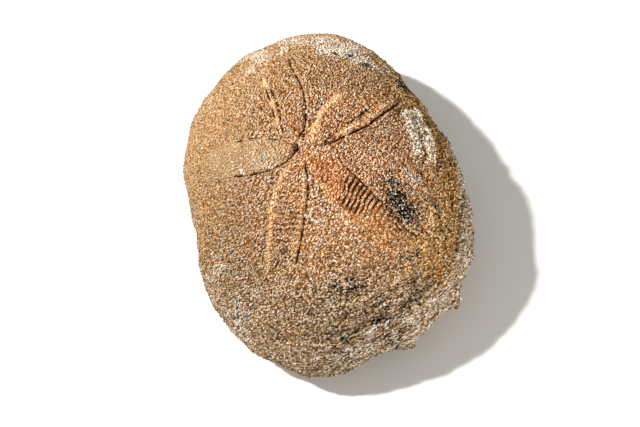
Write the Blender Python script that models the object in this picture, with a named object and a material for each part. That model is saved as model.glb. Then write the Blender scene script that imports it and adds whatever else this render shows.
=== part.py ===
"""Fossil sea urchin: one stone, a domed test with five petals, a worn margin and a flat underside.

Sizes are in millimetres and the mesh is scaled to metres as it is made. The stone is shaped
round its apex and then moved so that the origin is under its middle, on the resting plane.
+Z is up and +Y points along the front petal.
"""

import math

import bmesh
import bpy
import numpy as np
from mathutils import Vector, noise

MM = 0.001
OBJECT_NAME = "fossil_sea_urchin"

# Body: a half ellipsoid over an irregular outline, on a short, tucked-in underside
APEX = (-2.9, -0.6)
HEIGHT = 47.0
GIRTH_HEIGHT = 13.5
GIRTH_RADII = (39.5, 39.3, 43.8, 49.5, 48.1, 44.9, 40.5, 35.4, 32.9, 37.2, 42.0, 47.2, 47.5, 47.3, 45.8, 41.9)
DOME_POWER = 0.96
UNDERSIDE_POWER = 5.0
FINE_DIVISIONS = 8
TRIANGLES = 9300

# Petals: direction in degrees from +X, length, half width, sideways bend at the tip, rib height
PETALS = {
    "front": (90.0, 34.0, 4.9, -0.8, 0.12),
    "front_right": (21.0, 36.0, 5.9, 5.0, 0.14),
    "front_left": (174.0, 29.0, 5.8, -5.5, 0.0),
    "back_left": (247.0, 36.0, 4.9, 0.6, 0.22),
    "back_right": (300.5, 38.0, 5.0, 0.4, 0.40),
}
PETAL_START = 3.0
PETAL_SWELL = 0.55
RIB_PITCH = 1.32
RIB_WAVE = 0.35

# Grooves: depth, half width, and the points they pass through, measured from the apex
GROOVES = (
    (0.62, 0.42, ((3.9, 31.2), (4.6, 24.2), (5.0, 17.8), (4.4, 11.9), (3.3, 7.8), (2.0, 4.4), (0.2, 2.5),
                  (-1.5, 1.2), (-1.8, -0.7), (-3.2, -2.5), (-5.3, -3.7), (-11.0, -3.6), (-15.6, -2.3), (-19.0, -0.3))),
    (0.45, 0.36, ((-4.9, 26.5), (-4.5, 21.0), (-4.2, 16.3), (-3.9, 10.5), (-3.2, 4.0))),
    (0.38, 0.34, ((-3.7, 22.6), (-3.0, 17.7), (-2.5, 12.7), (-2.3, 6.6))),
    (0.60, 0.42, ((5.0, -1.4), (7.8, -1.1), (12.9, 0.4), (18.4, 2.8), (26.4, 9.4), (30.0, 13.2))),
    (0.42, 0.34, ((8.5, -6.4), (10.0, -8.7), (13.4, -14.7), (17.7, -21.7), (20.8, -26.8), (24.0, -29.1), (27.5, -33.5))),
    (0.45, 0.36, ((1.0, -2.6), (0.4, -4.1), (-0.2, -9.8), (-1.7, -14.7), (-4.2, -20.3), (-6.8, -25.7), (-9.0, -29.7))),
    (0.36, 0.34, ((-3.7, 2.9), (-6.8, 4.8), (-10.5, 6.8), (-13.7, 7.7), (-17.2, 8.7))),
    (0.30, 0.36, ((2.0, -9.0), (3.2, -15.8), (5.6, -21.5), (9.0, -27.0))),
)

# Ridges: height, half width, and the points they pass through, measured from the apex
RIDGES = (
    (0.45, 1.0, ((2.6, 0.2), (3.7, 1.8), (5.1, 4.2), (6.4, 6.3), (8.0, 8.6), (11.5, 11.4), (16.0, 14.6))),
    (0.40, 1.0, ((-4.2, 22.5), (-3.6, 17.0), (-3.2, 11.6), (-2.8, 5.0))),
    (0.45, 1.0, ((-2.2, -3.9), (-6.0, -6.6), (-8.8, -10.1), (-11.1, -13.8), (-12.8, -19.1), (-15.0, -24.2),
                 (-17.0, -27.8))),
    (0.30, 0.8, ((-0.7, -6.7), (-1.6, -10.7), (-2.8, -14.4), (-4.8, -18.9), (-6.8, -23.4), (-9.2, -27.8))),
    (0.40, 0.9, ((6.5, 0.2), (8.1, 0.3), (13.1, 1.9), (17.9, 3.8), (22.7, 7.8), (27.0, 11.4))),
)
LINE_END_FADE = 4.0

# Apex: a sunken disc with a pit on its left
APEX_DISC_RADIUS = 2.4
APEX_DISC_DEPTH = 0.3
APEX_PIT = (-1.3, -0.6)
APEX_PIT_RADIUS = 0.85
APEX_PIT_DEPTH = 1.3

# Crust: a raised ridge of stone stuck along the right flank
CRUST_PATH = ((30.0, 9.5), (30.6, 4.0), (30.4, -2.0), (30.1, -9.5))
CRUST_WIDTH = 1.7
CRUST_HEIGHT = 1.1

# Worn stone round the right and the back: lumps, ledges along the margin and pits
WORN_SIDE = 335.0
LUMP_SIZE = 11.0
LUMP_HEIGHT = 0.35
WORN_LUMP_SIZE = 4.2
WORN_LUMP_HEIGHT = 0.4
LEDGE_LENGTH = 8.0
LEDGE_STRETCH = 3.2
LEDGE_HEIGHT = 0.55
PIT_SEED = 5
PIT_COUNT = 46
PIT_SPREAD = 62.0
PIT_RADII = (0.45, 1.0)
PIT_DEPTH = 0.8

# Margin: direction in degrees, height, half angle in degrees, how far it stands out (+) or is chipped (-)
MARGIN_CHIPS = (
    (99.0, 26.0, 5.0, 0.8),
    (117.0, 26.0, 4.0, -0.6),
    (140.0, 24.0, 7.0, -0.4),
    (172.0, 18.0, 7.0, 0.6),
    (194.0, 17.0, 3.5, -0.8),
    (243.0, 10.0, 4.0, -0.8),
    (257.0, 10.0, 7.0, 1.0),
    (275.0, 10.0, 5.0, -1.2),
    (287.0, 9.0, 3.0, 1.9),
    (299.0, 12.0, 4.0, -0.9),
    (307.0, 12.0, 2.5, 1.7),
    (317.0, 13.0, 4.0, -0.5),
    (331.0, 13.0, 5.0, 0.6),
    (349.0, 17.0, 5.0, -0.8),
)
CHIP_REACH = 7.0

# Underside: hollow round the mouth, five food furrows, the vent near the back edge, and a worn-flat ring
UNDERSIDE_FROM = -0.3
UNDERSIDE_WORN = 0.5
HOLLOW_RADIUS = 21.0
HOLLOW_DEPTH = 3.2
MOUTH_RADIUS = 4.2
MOUTH_DEPTH = 5.0
FURROW_WIDTH = 1.1
FURROW_DEPTH = 1.0
FURROW_REACH = 33.0
VENT_CENTRE = (1.0, -37.5)
VENT_RADIUS = 2.1
VENT_DEPTH = 2.6
BASE_CUT = 0.8


def clear_scene():
    for obj in list(bpy.data.objects):
        bpy.data.objects.remove(obj, do_unlink=True)


def smooth_step(values, low, high):
    share = np.clip((values - low) / (high - low), 0.0, 1.0)
    return share * share * (3.0 - 2.0 * share)


def bell(distance, width):
    return np.exp(-((distance / width) ** 2))


def angle_between(azimuth, degrees):
    """Degrees from one direction to each azimuth (given in radians), from -180 to 180."""
    return (np.degrees(azimuth) - degrees + 180.0) % 360.0 - 180.0


def girth_radius(azimuth):
    """The outline at its widest: a smooth closed curve through GIRTH_RADII, evenly spaced from +X."""
    count = len(GIRTH_RADII)
    waves = np.fft.rfft(GIRTH_RADII) / count
    radius = np.full_like(azimuth, waves[0].real)
    for order, wave in enumerate(waves[1:], start=1):
        share = 1.0 if 2 * order == count else 2.0
        radius += share * abs(wave) * np.cos(order * azimuth + np.angle(wave))
    return radius


def noise_at(points, size, seed):
    """Smooth noise from about -1 to 1, with features of that size."""
    offset = Vector((17.3 * seed, -9.1 * seed, 5.7 * seed))
    return np.array([noise.noise(Vector(point) / size + offset) for point in points]) * 1.6


def body_points(directions):
    """Maps unit directions onto the smooth body."""
    azimuth = np.arctan2(directions[:, 1], directions[:, 0])
    reach = np.hypot(directions[:, 0], directions[:, 1]).clip(0.0, 1.0)
    rise = np.abs(directions[:, 2])
    radius = reach * girth_radius(azimuth)
    upper = GIRTH_HEIGHT + (HEIGHT - GIRTH_HEIGHT) * rise**DOME_POWER
    lower = GIRTH_HEIGHT * (1.0 - np.sqrt(1.0 - reach**UNDERSIDE_POWER))
    height = np.where(directions[:, 2] >= 0.0, upper, lower)
    return np.stack([radius * np.cos(azimuth), radius * np.sin(azimuth), height], axis=1)


def petal_relief(x, y, ripple):
    """Gently swollen petals with ribs across them."""
    relief = np.zeros_like(x)
    for direction, length, half_width, bend, rib_height in PETALS.values():
        turn = math.radians(direction)
        along = x * math.cos(turn) + y * math.sin(turn)
        share = np.clip(along / length, 0.0, 1.0)
        across = y * math.cos(turn) - x * math.sin(turn) - bend * share**2
        side = np.abs(across) / (half_width * np.sin(math.pi * (0.08 + 0.72 * share)))
        shown = smooth_step(along, 1.0, PETAL_START) * (1.0 - smooth_step(along, 0.8 * length, length))
        swell = PETAL_SWELL * np.clip(1.0 - side**2, 0.0, 1.0)
        inside = smooth_step(share, 0.1, 0.4) * (1.0 - smooth_step(side, 0.55, 0.85))
        ribs = rib_height * np.cos(2.0 * math.pi * (along / RIB_PITCH + RIB_WAVE * ripple)) * inside
        relief += shown * (swell + ribs)
    return relief


def path_distance(x, y, path):
    """Distance in plan from a run of straight lines, and how far that is from the nearer end."""
    starts, ends = np.array(path[:-1]), np.array(path[1:])
    lengths = np.hypot(*(ends - starts).T)
    total = lengths.sum()
    nearest = np.full_like(x, np.inf)
    end_distance = np.zeros_like(x)
    passed = 0.0
    for (x0, y0), (x1, y1), length in zip(starts, ends, lengths):
        ux, uy = (x1 - x0) / length, (y1 - y0) / length
        along = np.clip((x - x0) * ux + (y - y0) * uy, 0.0, length)
        distance = np.hypot(x - x0 - along * ux, y - y0 - along * uy)
        closer = distance < nearest
        nearest = np.where(closer, distance, nearest)
        end_distance = np.where(closer, np.minimum(passed + along, total - passed - along), end_distance)
        passed += length
    return nearest, end_distance


def line_relief(x, y, lines):
    """The raised or sunken lines, each fading out at its ends."""
    relief = np.zeros_like(x)
    for height, half_width, path in lines:
        distance, end_distance = path_distance(x, y, path)
        relief += height * bell(distance, half_width) * smooth_step(end_distance, -0.5, LINE_END_FADE)
    return relief


def apex_relief(x, y):
    disc = APEX_DISC_DEPTH * bell(np.hypot(x, y), APEX_DISC_RADIUS)
    pit = APEX_PIT_DEPTH * bell(np.hypot(x - APEX_PIT[0], y - APEX_PIT[1]), APEX_PIT_RADIUS)
    return -disc - pit


def crust_relief(x, y, roughness):
    distance, _ = path_distance(x, y, CRUST_PATH)
    edge = distance + 0.5 * roughness
    return CRUST_HEIGHT * (1.0 - smooth_step(edge, 0.4 * CRUST_WIDTH, CRUST_WIDTH))


def worn_share(azimuth, reach, ripple):
    """How worn the surface is: 0 on the sound test, 1 on bare stone round the right and the back."""
    facing = smooth_step(np.cos(azimuth - math.radians(WORN_SIDE)), -0.25, 0.75)
    start = 0.92 - 0.16 * facing
    return smooth_step(reach + 0.05 * ripple, start - 0.06, start + 0.06) * (0.35 + 0.65 * facing)


def pit_relief(points):
    """Round pits scattered over the worn flank."""
    random = np.random.default_rng(PIT_SEED)
    azimuths = np.radians(WORN_SIDE - 22.0 + PIT_SPREAD * random.uniform(-1.0, 1.0, PIT_COUNT))
    tilts = np.radians(random.uniform(14.0, 44.0, PIT_COUNT))
    radii = random.uniform(*PIT_RADII, PIT_COUNT)
    plan = np.cos(tilts)
    centres = body_points(np.stack([plan * np.cos(azimuths), plan * np.sin(azimuths), np.sin(tilts)], axis=1))
    relief = np.zeros(len(points))
    for centre, radius in zip(centres, radii):
        relief -= PIT_DEPTH * bell(np.linalg.norm(points - centre, axis=1), radius)
    return relief


def margin_relief(azimuth, height):
    """Broken tips and chips along the widest edge."""
    relief = np.zeros_like(azimuth)
    for direction, middle, half_angle, stand_out in MARGIN_CHIPS:
        near = bell(angle_between(azimuth, direction), half_angle) * bell(height - middle, CHIP_REACH)
        relief += stand_out * near
    return relief


def underside_relief(x, y):
    """Along the downward normal: the hollow and mouth in the middle, the furrows, and the vent."""
    radius = np.hypot(x, y)
    hollow = HOLLOW_DEPTH * (1.0 - smooth_step(radius, 0.0, HOLLOW_RADIUS))
    mouth = MOUTH_DEPTH * (1.0 - smooth_step(radius, 0.55 * MOUTH_RADIUS, 1.15 * MOUTH_RADIUS))
    vent = VENT_DEPTH * bell(np.hypot(x - VENT_CENTRE[0], y - VENT_CENTRE[1]), VENT_RADIUS)
    relief = -hollow - mouth - vent
    for direction, *_ in PETALS.values():
        turn = math.radians(direction)
        along = x * math.cos(turn) + y * math.sin(turn)
        across = y * math.cos(turn) - x * math.sin(turn)
        shown = smooth_step(along, 2.0, 5.0) * (1.0 - smooth_step(along, 0.7 * FURROW_REACH, FURROW_REACH))
        relief -= FURROW_DEPTH * bell(across, FURROW_WIDTH) * shown
    return relief


def surface_relief(directions, points):
    """How far each point of the smooth body moves along its normal."""
    x, y, z = points.T
    azimuth = np.arctan2(y, x)
    reach = np.hypot(directions[:, 0], directions[:, 1])
    above = smooth_step(directions[:, 2], UNDERSIDE_FROM, 0.0)
    ripple = noise_at(points, LUMP_SIZE, 1)
    roughness = noise_at(points, WORN_LUMP_SIZE, 2)
    ledges = noise_at(points * (1.0, 1.0, LEDGE_STRETCH), LEDGE_LENGTH, 3)
    worn = above * worn_share(azimuth, reach, ripple) + (1.0 - above) * UNDERSIDE_WORN
    lumps = LUMP_HEIGHT * ripple + worn * (WORN_LUMP_HEIGHT * roughness + LEDGE_HEIGHT * ledges * above)
    sound = petal_relief(x, y, ripple) + line_relief(x, y, RIDGES) - line_relief(x, y, GROOVES)
    upper = (1.0 - worn) * sound + apex_relief(x, y) + crust_relief(x, y, roughness) + pit_relief(points)
    lower = underside_relief(x, y)
    return lumps + np.where(directions[:, 2] >= 0.0, upper, lower) + margin_relief(azimuth, z)


def test_mesh():
    """A finely divided ball pulled onto the body, then moved along its normals by the relief."""
    bm = bmesh.new()
    bmesh.ops.create_icosphere(bm, subdivisions=FINE_DIVISIONS, radius=1.0)
    mesh = bpy.data.meshes.new(OBJECT_NAME)
    bm.to_mesh(mesh)
    bm.free()
    count = len(mesh.vertices)
    directions = np.empty(count * 3, np.float32)
    mesh.vertices.foreach_get("co", directions)
    directions = directions.reshape(-1, 3).astype(float)
    points = body_points(directions)
    mesh.vertices.foreach_set("co", points.ravel())
    mesh.update()
    normals = np.empty(count * 3, np.float32)
    mesh.vertex_normals.foreach_get("vector", normals)
    points += normals.reshape(-1, 3) * surface_relief(directions, points)[:, None]
    points += (*APEX, -BASE_CUT)
    mesh.vertices.foreach_set("co", (points * MM).ravel())
    mesh.update()
    return mesh


def stone_material():
    material = bpy.data.materials.new("weathered_limestone")
    material.use_nodes = True
    shader = material.node_tree.nodes["Principled BSDF"]
    shader.inputs["Base Color"].default_value = (0.42, 0.24, 0.12, 1.0)
    shader.inputs["Roughness"].default_value = 0.85
    shader.inputs["Metallic"].default_value = 0.0
    return material


def collection_named(name):
    collection = bpy.data.collections.new(name)
    bpy.context.scene.collection.children.link(collection)
    return collection


def floor_cutter(collection):
    """A slab under the resting plane, which cuts the underside off flat."""
    bm = bmesh.new()
    bmesh.ops.create_cube(bm, size=1.0)
    mesh = bpy.data.meshes.new("resting_plane_cutter")
    bm.to_mesh(mesh)
    bm.free()
    slab = Vector((0.2, 0.2, 0.02))
    for vertex in mesh.vertices:
        vertex.co = vertex.co * slab - Vector((0.0, 0.0, slab.z / 2.0))
    cutter = bpy.data.objects.new("resting_plane_cutter", mesh)
    cutter.hide_render = True
    cutter.display_type = "WIRE"
    collection.objects.link(cutter)
    return cutter


def build():
    clear_scene()
    parts = collection_named(OBJECT_NAME)
    cutters = collection_named("cutters")
    stone = bpy.data.objects.new(OBJECT_NAME, test_mesh())
    stone.data.materials.append(stone_material())
    parts.objects.link(stone)
    facets = stone.modifiers.new("facets", "DECIMATE")
    facets.ratio = TRIANGLES / len(stone.data.polygons)
    flat_base = stone.modifiers.new("flat_base", "BOOLEAN")
    flat_base.operation = "DIFFERENCE"
    flat_base.object = floor_cutter(cutters)


build()
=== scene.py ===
import math

import bmesh
import bpy
import numpy as np
from mathutils import Matrix, Vector, noise


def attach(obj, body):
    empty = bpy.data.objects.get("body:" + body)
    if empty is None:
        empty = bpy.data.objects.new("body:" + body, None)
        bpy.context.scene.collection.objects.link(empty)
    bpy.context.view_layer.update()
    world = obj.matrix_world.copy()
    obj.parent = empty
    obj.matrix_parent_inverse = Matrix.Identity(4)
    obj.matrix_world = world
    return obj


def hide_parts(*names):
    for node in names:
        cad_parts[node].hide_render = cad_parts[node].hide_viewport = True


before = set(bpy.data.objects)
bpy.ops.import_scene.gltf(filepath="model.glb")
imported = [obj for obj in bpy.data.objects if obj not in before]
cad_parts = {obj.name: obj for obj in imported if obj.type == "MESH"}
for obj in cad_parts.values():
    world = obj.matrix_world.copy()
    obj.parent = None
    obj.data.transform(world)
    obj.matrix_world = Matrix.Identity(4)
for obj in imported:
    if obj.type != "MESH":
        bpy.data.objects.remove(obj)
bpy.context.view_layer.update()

# The fossil sea urchin's looks: the stone's fine surface, the spine bases and grains on it, light and camera.
# Form sizes are in millimetres, measured from the apex, as in the part's own source.

NODE = "fossil_sea_urchin"
BODY = "root"
MM = 0.001

# Noise: the step from one seed's pattern to the next, the gain that makes it reach from -1 to 1, and seeds
NOISE_STEPS = (17.3, -9.1, 5.7)
NOISE_GAIN = 1.6
LUMP_SEED = 1
WORN_LUMP_SEED = 2
LEDGE_SEED = 3
WORM_SEED = 4
GRIT_SEED = 5
BLOTCH_SEED = 6
BREAK_SEED = 7
FINE_LEDGE_SEED = 8

# Body: the apex in plan, heights, the widest edge's radii and the powers that shape dome and underside
APEX = (-2.9, -0.6)
HEIGHT = 47.0
GIRTH_HEIGHT = 13.5
GIRTH_RADII = (39.5, 39.3, 43.8, 49.5, 48.1, 44.9, 40.5, 35.4, 32.9, 37.2, 42.0, 47.2, 47.5, 47.3, 45.8, 41.9)
DOME_POWER = 0.96
UNDERSIDE_POWER = 5.0
BASE_CUT = 0.8

# Petals: direction in degrees from +X, length, half width, sideways bend at the tip, swell, rib height, and
# how far the ribs lean along the petal for each step across it
PETALS = {
    "front": (90.0, 34.0, 4.9, -0.8, 0.5, 0.16, 0.0),
    "front_right": (21.0, 36.0, 5.9, 5.0, 0.5, 0.14, 0.0),
    "front_left": (174.0, 29.0, 5.8, -5.5, 0.9, 0.0, 0.0),
    "back_left": (247.0, 36.0, 4.9, 0.6, 0.5, 0.3, 0.0),
    "back_right": (300.5, 38.0, 5.0, 0.4, 0.4, 0.5, 0.27),
}
PETAL_BEGINS = 1.0
PETAL_START = 3.0
PETAL_FADES_FROM = 0.8
PETAL_TAPER = (0.08, 0.72)
PETAL_EDGE = (0.8, 1.05)
RIB_PITCH = 1.32
RIB_WAVE = 0.35
RIB_STEP = 0.4
RIB_STEP_HALF_WIDTH = 0.5
RIBS_START = (0.12, 0.42)
RIBS_END = (0.6, 0.9)
RIBS_EDGE = (0.6, 0.95)
RIBS_PATCHY = (0.8, 0.9, 1.4)
RIB_FULL = 0.5
RIB_COUNT = 40.0
RIB_COUNT_START = 2.0

# Grooves: depth, half width, and the points they pass through
GROOVES = (
    (0.62, 0.42, ((3.4, 31.0), (3.4, 27.0), (4.0, 22.8), (4.7, 18.5), (4.5, 12.5), (3.4, 7.4), (2.3, 4.4),
                  (0.7, 2.7), (-0.2, 1.0), (-0.8, -0.3), (-2.3, -2.1), (-4.5, -3.2), (-8.9, -3.8),
                  (-14.2, -2.7), (-19.0, -0.3))),
    (0.45, 0.32, ((-4.9, 26.5), (-4.7, 23.1), (-4.4, 19.0), (-4.1, 15.6), (-4.2, 12.0), (-4.1, 9.0))),
    (0.40, 0.32, ((-3.5, 21.2), (-2.8, 17.1), (-2.6, 12.0), (-2.9, 7.8), (-3.4, 3.6))),
    (0.60, 0.42, ((5.0, -1.4), (7.8, -1.1), (12.9, 0.4), (18.4, 2.8), (26.4, 9.4), (30.0, 13.2))),
    (0.42, 0.34, ((8.5, -6.4), (10.0, -8.7), (13.4, -14.7), (17.7, -21.7))),
    (0.45, 0.36, ((1.0, -2.6), (0.4, -4.1), (-0.2, -9.8), (-1.7, -14.7), (-4.2, -20.3), (-6.8, -25.3),
                  (-10.4, -31.1))),
    (0.36, 0.34, ((-3.7, 2.9), (-6.8, 4.8), (-10.5, 6.8), (-13.7, 7.7), (-17.2, 8.7))),
    (0.30, 0.36, ((2.0, -9.0), (3.2, -15.8), (5.6, -21.5), (9.0, -27.0))),
    (0.55, 0.42, ((18.4, -22.6), (20.8, -26.4), (23.3, -28.4), (27.0, -31.6), (30.5, -35.5))),
    (0.40, 0.34, ((7.4, 9.0), (6.0, 7.0), (4.4, 4.6), (2.4, 2.9), (0.2, 1.0))),
    (0.30, 0.30, ((4.0, -2.0), (7.0, -0.1), (10.5, 2.0), (14.9, 4.4), (17.8, 6.5), (22.0, 9.5))),
)
GROOVE_FULL = 0.30
# How dark the painted shade along each groove is drawn, in the same order
GROOVE_SHADE_DARKNESS = (1.0, 0.9, 0.8, 1.0, 0.8, 1.0, 0.75, 0.0, 5.0, 0.8, 0.7)

# Ridges: height, half width, and the points they pass through
RIDGES = (
    (0.75, 0.95, ((2.6, 0.2), (3.7, 1.8), (5.1, 4.2), (6.4, 6.3), (8.0, 8.6), (11.5, 11.4), (16.0, 14.6))),
    (0.75, 0.80, ((-4.9, 28.0), (-4.2, 23.0), (-3.6, 18.0), (-3.4, 13.8), (-3.5, 9.5), (-3.8, 5.0))),
    (0.60, 0.75, ((-2.2, -3.9), (-6.0, -6.6), (-8.8, -10.1), (-11.1, -13.8), (-12.8, -19.1), (-15.0, -24.2),
                 (-17.0, -27.8))),
    (0.45, 0.65, ((-0.7, -6.7), (-1.6, -10.7), (-2.8, -14.4), (-4.8, -18.9), (-6.8, -23.4), (-9.2, -27.8))),
    (0.60, 0.75, ((6.5, 0.2), (8.1, 0.3), (13.1, 1.9), (17.9, 3.8), (22.7, 7.8), (27.0, 11.4))),
)
RIDGE_FULL = 0.65
LINE_END = (-0.5, 4.0)
LINE_REACH = 1.1
LINE_FULL = 0.6
LINE_COLOUR_FADE = 2.0
BARE_SHARE = 0.9

# Pale worm tubes grown on the stone, as lines are given above
WORM_TUBES = (
    (0.25, 0.3, ((-16.3, 0.8), (-15.5, -1.5), (-14.8, -3.8), (-14.9, -6.9))),
    (0.25, 0.3, ((-1.9, -17.0), (-1.9, -19.6), (-1.2, -20.6), (-0.2, -20.7), (1.6, -19.4))),
)
TUBE_PALENESS = (1.0, 1.0)

# Apex: a sunken disc with a pit
APEX_DISC_RADIUS = 2.4
APEX_DISC_DEPTH = 0.3
APEX_PIT = (-0.8, -0.1)
APEX_PIT_RADIUS = 0.85
APEX_PIT_DEPTH = 1.3

# Crust: its two edges, width, and how pale it is and how much paler at the edges
CRUST_PATHS = (
    ((29.5, 7.4), (29.4, 3.6), (29.0, -1.5), (28.8, -6.0)),
    ((31.4, 8.4), (31.9, 5.0), (32.0, -0.6), (31.5, -7.5)),
)
CRUST_WIDTH = 2.0
CRUST_EDGE_WIDTH = 0.8
CRUST_FULL = 0.4
CRUST_RAGGED = 0.5
CRUST_PALENESS = (0.62, 0.38)
CRUST_HEIGHT = 0.8

# Worn stone: the side in degrees, and where it starts, as a share of the way out to the widest edge
WORN_SIDE = 335.0
WORN_FACING = (-0.25, 0.75)
WORN_START = 0.92
WORN_LEAD = 0.16
WORN_EDGE = 0.06
WORN_RIPPLE = 0.05
WORN_AWAY = 0.35
LUMP_SIZE = 11.0
LUMP_HEIGHT = 0.35
WORN_LUMP_SIZE = 4.2
WORN_LUMP_HEIGHT = 0.4
LEDGE_LENGTH = 8.0
LEDGE_STRETCH = 3.2
LEDGE_HEIGHT = 0.55
PIT_SEED = 5
PIT_COUNT = 46
PIT_SIDE = WORN_SIDE - 22.0
PIT_SPREAD = 62.0
PIT_TILTS = (14.0, 44.0)
PIT_RADII = (0.45, 1.0)
PIT_DEPTH = 0.8

# Margin: direction in degrees, height, half angle in degrees, how far it stands out (+) or is chipped (-)
MARGIN_CHIPS = (
    (99.0, 26.0, 5.0, 0.8),
    (117.0, 26.0, 4.0, -0.6),
    (140.0, 24.0, 7.0, -0.4),
    (172.0, 18.0, 7.0, 0.6),
    (194.0, 17.0, 3.5, -0.8),
    (243.0, 10.0, 4.0, -0.8),
    (257.0, 10.0, 7.0, 1.0),
    (275.0, 10.0, 5.0, -1.2),
    (287.0, 9.0, 3.0, 1.9),
    (299.0, 12.0, 4.0, -0.9),
    (307.0, 12.0, 2.5, 1.7),
    (317.0, 13.0, 4.0, -0.5),
    (331.0, 13.0, 5.0, 0.6),
    (349.0, 17.0, 5.0, -0.8),
)
CHIP_REACH = 7.0

# Underside: a hollow with the mouth, furrows and the vent
UNDERSIDE_FROM = -0.3
UNDERSIDE_WORN = 0.5
HOLLOW_RADIUS = 21.0
HOLLOW_DEPTH = 3.2
MOUTH_RADIUS = 4.2
MOUTH_WALL = (0.55, 1.15)
MOUTH_DEPTH = 5.0
FURROW_WIDTH = 1.1
FURROW_DEPTH = 1.0
FURROW_START = (2.0, 5.0)
FURROW_REACH = 33.0
FURROW_FADES_FROM = 0.7
VENT_CENTRE = (1.0, -37.5)
VENT_RADIUS = 2.1
VENT_DEPTH = 2.6

# Fine surface: only the looks have these
BALL_DIVISIONS = 8
UPPER_SHARE = 0.76
STONE_TRIANGLES = 196000
WORM_SIZE = 1.15
WORM_HEIGHT = 0.17
WORM_FULL = 0.5
GRIT_SIZE = 2.2
GRIT_HEIGHT = 0.16
FINE_LEDGE_LENGTH = 3.6
FINE_LEDGE_HEIGHT = 0.28
BARE_FINENESS = 0.7
PETAL_FINENESS = 0.9
FINE_SIDE_GRIT = 0.2

# Coarseness: the surface turns coarser from the front left to the back right
COARSE_TOWARD = 298.0
COARSE_FROM = -30.0
COARSE_TO = 10.0

# Spine bases and grains standing on the stone
BUMP_DENSITY = 6.0e6
BUMP_GROWTH = (0.7, 1.05)
BUMP_TONES = (0.3, 1.0)
BUMPS_FROM_HEIGHT = (0.5, 3.0)
BUMP_SHAPE = {"Stretch": 2.0, "Rise": 1.2, "Rings": 3}
STRETCH_SEED = 5
TURN_SEED = 7
TONE_SEED = 3
BUMPS = {
    "spine_bases": {
        "Spacing": 0.95 * MM,
        "Smallest radius": 0.26 * MM,
        "Largest radius": 0.42 * MM,
        "Segments": 6,
        "Keep smooth": 0.0,
        "Keep worn": 0.35,
        "Keep fine": 0.4,
        "Keep coarse": 0.8,
        "Seed": 11,
    },
    "grains": {
        "Spacing": 0.62 * MM,
        "Smallest radius": 0.16 * MM,
        "Largest radius": 0.28 * MM,
        "Segments": 5,
        "Keep smooth": 0.6,
        "Keep worn": 0.6,
        "Keep fine": 0.6,
        "Keep coarse": 0.3,
        "Seed": 23,
    },
}

# Stains: the middle (x and y), the radius and how strong it is
DARK_STAINS = (
    (19.8, -18.4, 3.2, 1.0),
    (20.8, -21.8, 3.2, 1.0),
    (21.0, -14.6, 2.4, 0.7),
    (17.0, -20.5, 2.6, 0.5),
    (20.5, -14.0, 6.0, 0.38),
    (17.5, -25.0, 4.5, 0.36),
    (-25.5, -31.0, 5.5, 0.45),
    (-3.0, -46.0, 6.0, 0.36),
    (9.0, -45.0, 6.0, 0.44),
    (-0.5, -35.1, 2.2, 0.6),
    (3.5, -36.2, 2.6, 0.62),
    (7.2, -36.8, 2.2, 0.52),
    (-2.6, 43.4, 2.6, 0.6),
    (31.0, 19.8, 2.8, 0.9),
    (27.5, 21.5, 4.0, 0.5),
    (-31.3, 4.7, 1.8, 0.6),
    (-11.0, -25.0, 3.6, 0.55),
    (29.2, -19.8, 0.8, 1.0),
    (30.2, -25.0, 0.8, 1.0),
    (6.6, 9.6, 0.6, 1.0),
    (16.0, 29.2, 0.9, 1.0),
    (19.6, 28.2, 0.8, 1.0),
    (12.4, 29.4, 0.7, 1.0),
    (22.6, 24.8, 1.0, 1.0),
)
CHALK_STAINS = (
    (13.4, 31.5, 3.0, 1.1),
    (18.4, 30.6, 3.2, 1.1),
    (22.0, 27.0, 2.8, 0.9),
    (14.0, 37.0, 4.5, 0.65),
    (21.0, 32.5, 3.5, 1.0),
    (6.0, 40.0, 4.5, 0.6),
    (-5.0, 39.0, 4.5, 0.52),
    (3.2, 36.0, 3.0, 0.5),
    (-3.6, 34.5, 3.2, 0.5),
    (-7.3, 31.9, 2.6, 0.5),
    (-21.0, 26.5, 4.5, 0.25),
    (-10.5, 0.0, 5.5, 0.35),
    (0.6, -9.0, 1.2, 0.8),
    (0.2, -14.0, 1.0, 0.6),
    (26.0, -12.5, 2.2, 0.5),
    (26.0, 25.0, 5.0, 0.45),
    (-30.0, -20.0, 5.0, 0.38),
    (-26.8, -31.0, 6.0, 0.5),
)

# Where sound stone is orange, where stone is weathered, grey, pale at the rim or ochre, and petals are pale
ORANGE_MIDDLE = (9.0, -7.0)
ORANGE_RADIUS = 21.5
ORANGE_FADES = (
    (14.5, -23.5, 7.5, 0.75),
    (22.0, -20.0, 6.0, 0.5),
)
ORANGE_BLOTCHES = 5.0
WEATHERED_EDGE = (0.55, 0.82)
WEATHERED_RIPPLE = 0.06
WEATHERED_BLOTCHES = 0.04
WEATHERED_LEAD = 0.16
WEATHERED_FACING = (-0.4, 0.5)
WEATHERED_AWAY = 0.4
GREY_SIDE = 262.0
GREY_FACING = (0.3, 0.95)
RIM_EDGE = (0.92, 0.98)
RIM_RIPPLE = 0.03
RIM_PALENESS = 0.42
UNDERSIDE_TOP = 5.0
UNDERSIDE_COLOUR = 0.75
UNDERSIDE_GREY = 0.7
OCHRE_STREAK = ((22.0, -25.0), (25.0, -28.4), (26.5, -33.0))
OCHRE_STREAK_WIDTH = 3.6
BLOTCH_SIZE = 6.0
PETAL_SMOOTHNESS = (0.3, 0.3, 1.0, 0.5, 0.9)
LEAF_PALENESS = (0.0, 0.0, 1.0, 0.2, 0.0)
GROOVE_BREAK_SIZE = 1.3
GROOVE_BREAKS = 0.8
HOLLOW_FINE_SIDE = 0.3

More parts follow.
